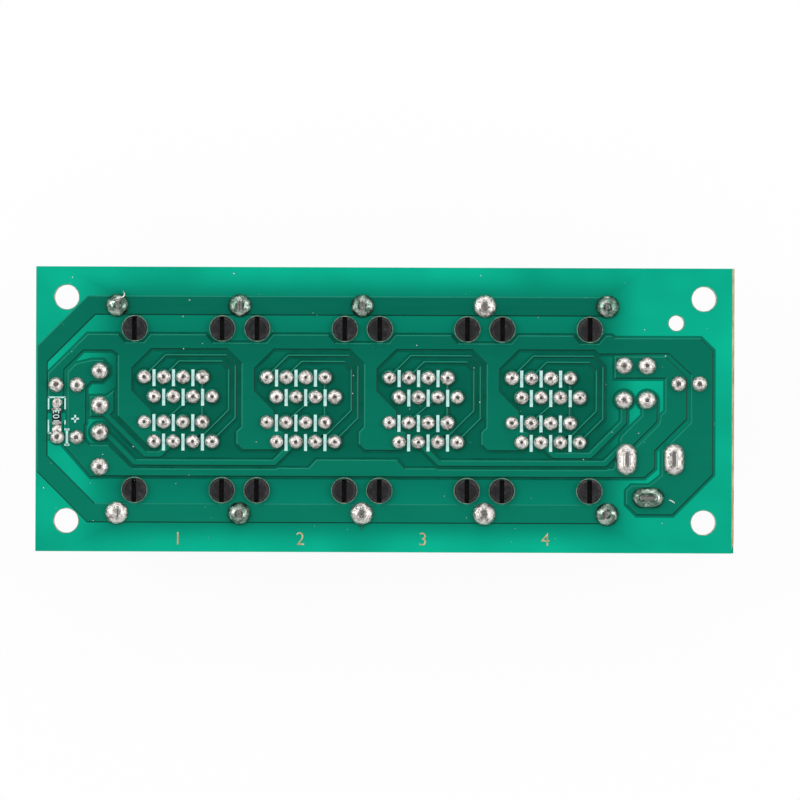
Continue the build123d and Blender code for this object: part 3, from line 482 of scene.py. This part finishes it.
# painted shade along the foot of the copper: the same outline let out a little, a flat dark sheet on the
# laminate
def pooledMask(node, lift):
    bm = bmesh.new()
    bm.from_mesh(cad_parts[node].data)
    bmesh.ops.scale(bm, vec=(1 / mm, 1 / mm, 1 / mm), verts=bm.verts)
    bmesh.ops.remove_doubles(bm, verts=bm.verts, dist=0.0005)
    bmesh.ops.delete(bm, geom=[f for f in bm.faces if f.normal.z < 0.9], context="FACES")
    moves = {}
    for v in bm.verts:
        sides = []
        for e in v.link_edges:
            if e.is_boundary:
                along = (e.verts[1].co - e.verts[0].co).normalized()
                out = Vector((along.y, -along.x, 0))
                middle = e.link_faces[0].calc_center_median() - e.verts[0].co
                sides.append(-out if out.dot(middle) > 0 else out)
        if len(sides) == 2:
            moves[v] = (sides[0] + sides[1]) * copper["fringe"] / max(1 + sides[0].dot(sides[1]), 0.4)
    for v, move in moves.items():
        v.co += move
    edgeX, edgeY = board["right"] - 0.02, -board["front"] - 0.02
    for v in bm.verts:
        v.co.x = min(max(v.co.x, -edgeX), edgeX)
        v.co.y = min(max(v.co.y, -edgeY), edgeY)
        v.co.z = board["face"] + lift
    # each run lies a hair above the last, so that no two share a plane
    waiting, run = set(bm.verts), 0
    for start in bm.verts:
        if start in waiting:
            reached = [start]
            waiting.discard(start)
            for v in reached:
                v.co.z += copper["runStep"] * (run % 9)
                for e in v.link_edges:
                    other = e.other_vert(v)
                    if other in waiting:
                        waiting.discard(other)
                        reached.append(other)
            run += 1
    bmesh.ops.solidify(bm, geom=bm.faces[:] + bm.edges[:] + bm.verts[:], thickness=0.001)
    finishPiece(bm, node + "ShadeSheet", "paintedShade", smooth=False)


for node in ("shield_track", "return_pour", "supply_bus", "feed_tracks", "data_tracks", "lamp_track"):
    maskedCopper(node)
# painted shade sheets round the four wider copper nodes
for number, node in enumerate(("return_pour", "supply_bus", "feed_tracks", "data_tracks")):
    pooledMask(node, copper["fringeLift"] + copper["fringeStep"] * number)
print("copper made")


socket = {
    "pinStep": 1.27, "nearRow": 4.2, "farRow": 1.66, "pegLine": 10.55, "pegGap": 11.43, "legAhead": 3.0,
}
ports = [
    (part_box(f"jack_housing_{i}")[0][0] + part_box(f"jack_housing_{i}")[1][0]) / 2 / mm for i in range(1, 5)
]
pitch = ports[1] - ports[0]
legX = [x - pitch / 2 for x in ports] + [ports[-1] + pitch / 2]
pinPlaces = []
for x in ports:
    for side in (1, -1):
        for i in range(8):
            pinPlaces.append(
                (
                    x + side * socket["pinStep"] * (i - 3.5),
                    side * (socket["nearRow"] if i % 2 == 0 else socket["farRow"]),
                )
            )


# each lead from the middle of its part
# leg and row of the joints that froze clean of flux
solder = {
    "pinRadius": 0.95, "pinHeight": 0.76, "leadRadius": 1.2, "leadHeight": 0.95, "canRadius": 1.03,
    "canHeight": 0.86, "legRadius": 1.5, "legHeight": 1.05, "steps": 28, "seed": 7, "fuseLead": 2.25,
    "canLead": 1.37, "lampLead": 1.27, "shinyLegs": ((3, 1), (0, -1), (2, -1), (3, -1)),
}


# one frozen drop: a fat foot, a shoulder and a dimple round the cut lead, knocked out of round
def dome(target, x, y, radius, height, dice, dent=0.12, lean=5.0):
    profile = [
        (0, -0.04), (radius * 0.9, -0.04), (radius, 0.02), (radius * 0.985, height * 0.16),
        (radius * 0.93, height * 0.34), (radius * 0.8, height * 0.58), (radius * 0.62, height * 0.78),
        (radius * 0.42, height * 0.92), (radius * 0.24, height), (radius * 0.1, height * (1 - dent)),
        (0, height * (1 - dent * 1.2)),
    ]
    drop = turned(profile, solder["steps"])
    offset = Vector((dice.uniform(0, 50), dice.uniform(0, 50), dice.uniform(0, 50)))
    slope = math.tan(math.radians(dice.uniform(0, lean)))
    heading = dice.uniform(0, 2 * math.pi)
    for v in drop.verts:
        if v.co.z < 0.05:
            continue
        high = v.co.z / height
        ripple = noise.noise(v.co * 1.9 + offset) * 0.1 + noise.noise(v.co * 4.5 + offset) * 0.04
        v.co.x *= 1 + ripple * 0.5
        v.co.y *= 1 + ripple * 0.5
        v.co.z *= 1 + ripple * 0.7 * high
        v.co.x += math.cos(heading) * slope * v.co.z
        v.co.y += math.sin(heading) * slope * v.co.z
        v.co.z = min(v.co.z, height * 1.12)
    pour(target, drop, Matrix.Translation((x, y, board["foilTop"])))
    drop.free()


dice = random.Random(solder["seed"])
pins = bmesh.new()
for x, y in pinPlaces:
    size = dice.uniform(0.95, 1.03)
    dome(
        pins, x, y, solder["pinRadius"] * size, solder["pinHeight"] * dice.uniform(0.86, 1.0), dice,
        dent=dice.uniform(0.0, 0.08),
    )
pinSolder = finishPiece(pins, "pinSolder", "pinSolder")
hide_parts("signal_joints")

legs, shinyLegs = bmesh.new(), bmesh.new()
for i, x in enumerate(legX):
    for side in (1, -1):
        dome(
            shinyLegs if (i, side) in solder["shinyLegs"] else legs, x,
            side * (socket["pegLine"] + socket["legAhead"]), solder["legRadius"],
            solder["legHeight"] * dice.uniform(0.85, 1.0), dice, dent=0.2, lean=8.0,
        )
legSolder = finishPiece(legs, "legSolder", "shieldSolder")
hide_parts("shield_joints")
finishPiece(shinyLegs, "legSolderBright", "pinSolder")
print("solder on the jacks made")

# a drop drawn out over a slot, with the folded tab standing proud along its middle
def longDome(target, x, y, length, width, height, turn):
    one = bmesh.new()
    dome(one, 0, 0, width / 2, height, dice, dent=0.35, lean=3.0)
    for v in one.verts:
        v.co.z -= board["foilTop"]
        v.co.x += math.copysign((length - width) / 2, v.co.x) if abs(v.co.x) > 0.02 else 0
    pour(
        target, one,
        Matrix.Translation((x, y, board["foilTop"])) @ Matrix.Rotation(math.radians(turn), 4, "Z"),
    )
    one.free()


rearTab = (
    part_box("inlet_centre_pin")[0][0] / mm + 0.3,
    (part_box("inlet_centre_pin")[0][1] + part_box("inlet_centre_pin")[1][1]) / 2 / mm,
)
sleeveTab = (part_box("inlet_sleeve_spring")[0][0] / mm + 0.2, rearTab[1])
switchTab = (
    (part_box("inlet_switch_contact")[0][0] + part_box("inlet_switch_contact")[1][0]) / 2 / mm,
    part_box("inlet_switch_contact")[0][1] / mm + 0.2,
)
tab = {"length": 4.2, "width": 2.72, "height": 0.98}
tabs, fluxedTab = bmesh.new(), bmesh.new()
for target, (x, y), turn in ((tabs, rearTab, 90), (tabs, sleeveTab, 90), (fluxedTab, switchTab, 0)):
    longDome(target, x, y, tab["length"], tab["width"], tab["height"], turn)
tabSolder = finishPiece(tabs, "tabSolder", "pinSolder")
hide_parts("power_joints")
finishPiece(fluxedTab, "tabSolderFluxed", "shieldSolder")

leads = bmesh.new()
for i in range(1, 5):
    low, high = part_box(f"fuse_{i}")
    x, y = (low[0] + high[0]) / 2 / mm, (low[1] + high[1]) / 2 / mm
    for end in (1, -1):
        dome(
            leads, x, y + end * solder["fuseLead"], solder["leadRadius"] * dice.uniform(0.96, 1.02),
            solder["leadHeight"] * dice.uniform(0.9, 1.0), dice, dent=0.25,
        )
for name in ("capacitor_left", "capacitor_right"):
    low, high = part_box(name)
    x, y = (low[0] + high[0]) / 2 / mm, (low[1] + high[1]) / 2 / mm
    for end in (1, -1):
        dome(
            leads, x + end * solder["canLead"], y, solder["canRadius"],
            solder["canHeight"] * dice.uniform(0.9, 1.0), dice, dent=0.2,
        )
low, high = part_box("lamp_leads")
lampX, lampY = (low[0] + high[0]) / 2 / mm, (low[1] + high[1]) / 2 / mm
for end in (1, -1):
    dome(leads, lampX + end * solder["lampLead"], lampY, 0.97, 0.84, dice, dent=0.2)
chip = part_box("resistor_ends")
chipX, chipLow, chipHigh = (chip[0][0] + chip[1][0]) / 2 / mm, chip[0][1] / mm, chip[1][1] / mm
# solder run out from the resistor: a neat bead above it, a dragged bridge to the lamp's lead below
for start, end, bulge in ((chipHigh, chipHigh + 1.3, 0.2), (chipLow, chipLow - 1.35, 0.35)):
    bead = bmesh.new()
    bmesh.ops.create_uvsphere(bead, u_segments=20, v_segments=12, radius=1.0)
    for v in bead.verts:
        v.co.z = max(v.co.z, -0.05)
        v.co *= 1 + noise.noise(v.co * 2.2 + Vector((start, 0, 0))) * bulge
    middle = (start + end) / 2
    pour(
        leads, bead,
        Matrix.Translation((chipX + 0.02, middle, board["foilTop"])) @ Matrix.Diagonal(
            (0.68, abs(end - start) / 2 + 0.12, 0.48, 1)
        ),
    )
    bead.free()
leadSolder = finishPiece(leads, "leadSolder", "pinSolder")
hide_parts("lead_joints")
print("solder on the leads made")


# a thin drawn-out hair of solder along a smooth line, on the board
def thread(name, points, radii, finish, place):
    curve = bpy.data.curves.new(name, "CURVE")
    curve.dimensions, curve.bevel_depth, curve.bevel_resolution, curve.use_fill_caps = "3D", 1.0, 3, True
    spline = curve.splines.new("NURBS")
    spline.points.add(len(points) - 1)
    for point, co, radius in zip(spline.points, points, radii):
        point.co, point.radius = (*co, 1), radius
    spline.order_u, spline.use_endpoint_u = 3, True
    mesh = bpy.data.meshes.new_from_object(bpy.data.objects.new(name, curve))
    bm = bmesh.new()
    bm.from_mesh(mesh)
    bmesh.ops.translate(bm, vec=place, verts=bm.verts)
    return finishPiece(bm, name, finish)


top = board["foilTop"]
firstLeg = (legX[0], socket["pegLine"] + socket["legAhead"], top)
thread(
    "solderCurl",
    [
        (-0.5, 0.75, 0.75), (0.1, 0.8, 0.95), (0.75, 1.0, 0.8), (1.0, 1.4, 0.5), (0.85, 1.75, 0.35),
        (0.75, 1.85, 0.25),
    ],
    [0.08, 0.1, 0.12, 0.13, 0.09, 0.04], "pinSolder", firstLeg,
)
thread(
    "solderTail", [(0, -0.9, 0.5), (0.02, -1.4, 0.2), (0.0, -1.75, 0.0), (0.02, -2.15, 0.0)],
    [0.2, 0.13, 0.09, 0.05], "shieldSolder",
    (legX[2], -socket["pegLine"] - socket["legAhead"], top),
)
thread(
    "solderFleck", [(-0.45, 0.22, 0.06), (0, 0.12, 0.1), (0.3, -0.2, 0.05)], [0.04, 0.12, 0.05], "flux",
    (switchTab[0] + 3.15, switchTab[1] - 0.5, top),
)

# pale specks of dust and flux spatter, no two alike
spatter = {"count": 90, "seed": 11, "smallest": 0.03, "largest": 0.085}
dice = random.Random(spatter["seed"])
specks = bmesh.new()
for _ in range(spatter["count"]):
    x, y = dice.uniform(board["left"] + 1, board["right"] - 1), dice.uniform(-17.8, 17.8)
    size = spatter["smallest"] + (spatter["largest"] - spatter["smallest"]) * dice.random() ** 3
    grain = bmesh.new()
    bmesh.ops.create_icosphere(grain, subdivisions=1, radius=size)
    pour(
        specks, grain,
        Matrix.Translation((x, y, top)) @ Matrix.Rotation(dice.uniform(0, 3), 4, "Z") @ Matrix.Diagonal(
            (dice.uniform(0.7, 1.8), 1, 0.5, 1)
        ),
    )
    grain.free()
finishPiece(specks, "fluxSpatter", "flux")

# the bruised rim of each peg hole and mounting hole
rims = bmesh.new()
hole = {
    "mountInset": 4.0, "mountRadius": 1.6, "pegRadius": 1.625, "toolRadius": 1.0, "toolInset": 7.6,
    "toolY": 11.45, "rim": 0.075,
}
mountX = board["right"] - hole["mountInset"]
mountY = -board["front"] - hole["mountInset"]
holes = [
    (
        x + end * socket["pegGap"] / 2, side * socket["pegLine"], hole["pegRadius"],
    ) for x in ports for end in (1, -1) for side in (1, -1)
]
holes += [(x, y, hole["mountRadius"]) for x in (-mountX, mountX) for y in (-mountY, mountY)]
holes.append((board["right"] - hole["toolInset"], hole["toolY"], hole["toolRadius"]))
for x, y, radius in holes:
    ring = bmesh.new()
    bmesh.ops.create_circle(ring, segments=40, radius=radius + hole["rim"])
    outer = ring.edges[:]
    lip = bmesh.ops.extrude_edge_only(ring, edges=outer)
    inner = [v for v in lip["geom"] if isinstance(v, bmesh.types.BMVert)]
    bmesh.ops.scale(ring, vec=((radius - 0.01) / (radius + hole["rim"]),) * 2 + (1,), verts=inner)
    bmesh.ops.solidify(ring, geom=ring.faces[:] + ring.edges[:] + ring.verts[:], thickness=0.02)
    pour(rims, ring, Matrix.Translation((x, y, board["face"] + 0.012)))
    ring.free()
finishPiece(rims, "drilledRims", "rim", smooth=False)
print("rims and spatter made")


ink = {"barWidth": 0.4, "barLength": 2.2, "height": board["foilTop"] - board["face"] + 0.012}
marks = bmesh.new()
for x, y in pinPlaces:
    if any(abs(px - x - 2 * socket["pinStep"]) < 0.01 and abs(py - y) < 0.01 for px, py in pinPlaces):
        bar(marks, x + socket["pinStep"], y - 0.1, ink["barWidth"], ink["barLength"], ink["height"])
bar(marks, lampX, lampY, 0.3, 2.0, ink["height"])
for end in (1, -1):
    bar(marks, lampX, lampY + end * 1.0, 0.66, 0.24, ink["height"])
# brackets round the resistor, a stroke missing where the solder ran over it
side = 1.08
bar(marks, chipX, chipHigh + 1.42, 2 * side + 0.2, 0.2, ink["height"])
for x, y, length in (
    (-side, chipHigh + 0.65, 1.6), (side, chipHigh + 0.65, 1.6), (-side, chipLow - 0.25, 1.75),
    (side, chipLow + 0.3, 0.55),
):
    bar(marks, chipX + x, y, 0.2, length, ink["height"])
bar(marks, chipX - side + 0.2, chipLow - 1.1, 0.5, 0.2, ink["height"])
# a plus by the capacitor's positive lead
for length, width in ((1.0, 0.24), (0.24, 1.0)):
    bar(marks, board["left"] + 5.15, -1.3, length, width, ink["height"], base=top)
finishPiece(marks, "screenedBars", "ink", smooth=False)

# plain numbers in the program's own face, a thin outline or a solid print
def figure(name, text, height, finish, place, turn, stroke):
    curve = bpy.data.curves.new(name, "FONT")
    curve.body, curve.size, curve.align_x, curve.align_y, curve.extrude = (
        text, height / 0.72, "CENTER", "CENTER", 0.012
    )
    curve.offset = stroke
    mesh = bpy.data.meshes.new_from_object(bpy.data.objects.new(name, curve))
    bm = bmesh.new()
    bm.from_mesh(mesh)
    bmesh.ops.rotate(bm, cent=(0, 0, 0), matrix=Matrix.Rotation(math.radians(turn), 3, "Z"), verts=bm.verts)
    bmesh.ops.translate(bm, vec=place, verts=bm.verts)
    finishPiece(bm, name, finish, smooth=False)


for number, x in enumerate(ports, 1):
    figure(
        f"portNumber{number}", str(number), 1.75, "bare",
        (x, -16.95, board["face"] + 0.014), 0, -0.018,
    )
figure("resistorCode", "103", 0.85, "ink",
       (chipX, (chipLow + chipHigh) / 2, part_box("resistor_body")[1][2] / mm + 0.008), 92, 0.0)
print("marks made")


view = {"distance": 0.75, "widthMm": 104.45, "aimX": 1.95, "aimY": 1.3, "roll": 0.21}
camera = bpy.data.cameras.new("camera")
cameraObject = bpy.data.objects.new("camera", camera)
bpy.context.scene.collection.objects.link(cameraObject)
camera.sensor_width = 36.0
camera.lens = 36.0 * view["distance"] / (view["widthMm"] * mm)
camera.clip_start, camera.clip_end = 0.01, 20.0
cameraObject.location = (view["aimX"] * mm, view["aimY"] * mm, board["face"] * mm + view["distance"])
cameraObject.rotation_euler = (0, 0, math.radians(view["roll"]))
bpy.context.scene.camera = cameraObject

bm = bmesh.new()
bmesh.ops.create_grid(bm, x_segments=1, y_segments=1, size=1.5)
floorMesh = bpy.data.meshes.new("floor")
bm.to_mesh(floorMesh)
bm.free()
floor = bpy.data.objects.new("floor", floorMesh)
bpy.context.scene.collection.objects.link(floor)
floorMaterial = bpy.data.materials.new("paleTable")
floorMaterial.use_nodes = True
tree = floorMaterial.node_tree
tree.nodes.remove(tree.nodes["Principled BSDF"])
path = addNode(tree, "ShaderNodeLightPath")
seen = maths(
    tree, "MAXIMUM", path.outputs["Is Camera Ray"],
    maths(tree, "MAXIMUM", path.outputs["Is Glossy Ray"], path.outputs["Is Transmission Ray"]),
)
matt = addNode(tree, "ShaderNodeBsdfDiffuse", inputs={"Color": "#f2f2f2"})
glow = addNode(tree, "ShaderNodeEmission", inputs={"Color": "#ffffff", "Strength": 1.0})
pale = addNode(
    tree, "ShaderNodeMixShader",
    inputs={0: maths(tree, "MULTIPLY", seen, 0.93), 1: matt.outputs[0], 2: glow.outputs[0]},
)
clear = addNode(tree, "ShaderNodeBsdfTransparent")
under = addNode(
    tree, "ShaderNodeMixShader",
    inputs={
        0: addNode(tree, "ShaderNodeNewGeometry").outputs["Backfacing"], 1: pale.outputs[0],
        2: clear.outputs[0],
    },
)
tree.links.new(under.outputs[0], tree.nodes["Material Output"].inputs[0])
floorMesh.materials.append(floorMaterial)

lamps = {
    "left": {"place": (-0.75, 0.25, 0.62), "size": 0.5, "power": 3.0},
    "right": {"place": (0.8, 0.1, 0.6), "size": 0.5, "power": 2.4},
    "back": {"place": (0.05, 0.85, 0.5), "size": 0.6, "power": 1.6},
}
for name, lamp in lamps.items():
    light = bpy.data.lights.new(name, "AREA")
    light.size, light.energy = lamp["size"], lamp["power"]
    lightObject = bpy.data.objects.new(name, light)
    bpy.context.scene.collection.objects.link(lightObject)
    lightObject.location = lamp["place"]
    lightObject.rotation_euler = (-Vector(lamp["place"])).to_track_quat("-Z", "Y").to_euler()

# white walls, a dark gap overhead where the camera hangs
studio = {"sides": 0.85, "top": 0.2, "rim": 0.8, "crown": 0.95}
world = bpy.data.worlds.new("studio")
bpy.context.scene.world = world
world.use_nodes = True
tree = world.node_tree
path = addNode(tree, "ShaderNodeLightPath")
heading = addNode(
    tree, "ShaderNodeSeparateXYZ", inputs={0: addNode(tree, "ShaderNodeTexCoord").outputs["Generated"]},
)
overhead = addNode(
    tree, "ShaderNodeMapRange", {"interpolation_type": "SMOOTHSTEP"},
    {
        "Value": heading.outputs[2], "From Min": studio["rim"], "From Max": studio["crown"],
        "To Min": studio["sides"], "To Max": studio["top"],
    },
)
background = tree.nodes["Background"]
background.inputs[0].default_value = (1, 1, 1, 1)
seen = maths(tree, "MAXIMUM", path.outputs["Is Camera Ray"], path.outputs["Is Transmission Ray"])
tree.links.new(maths(tree, "MAXIMUM", seen, overhead.outputs[0]), background.inputs[1])
bpy.context.scene.view_settings.view_transform = "Standard"
print("camera, floor and lights made")
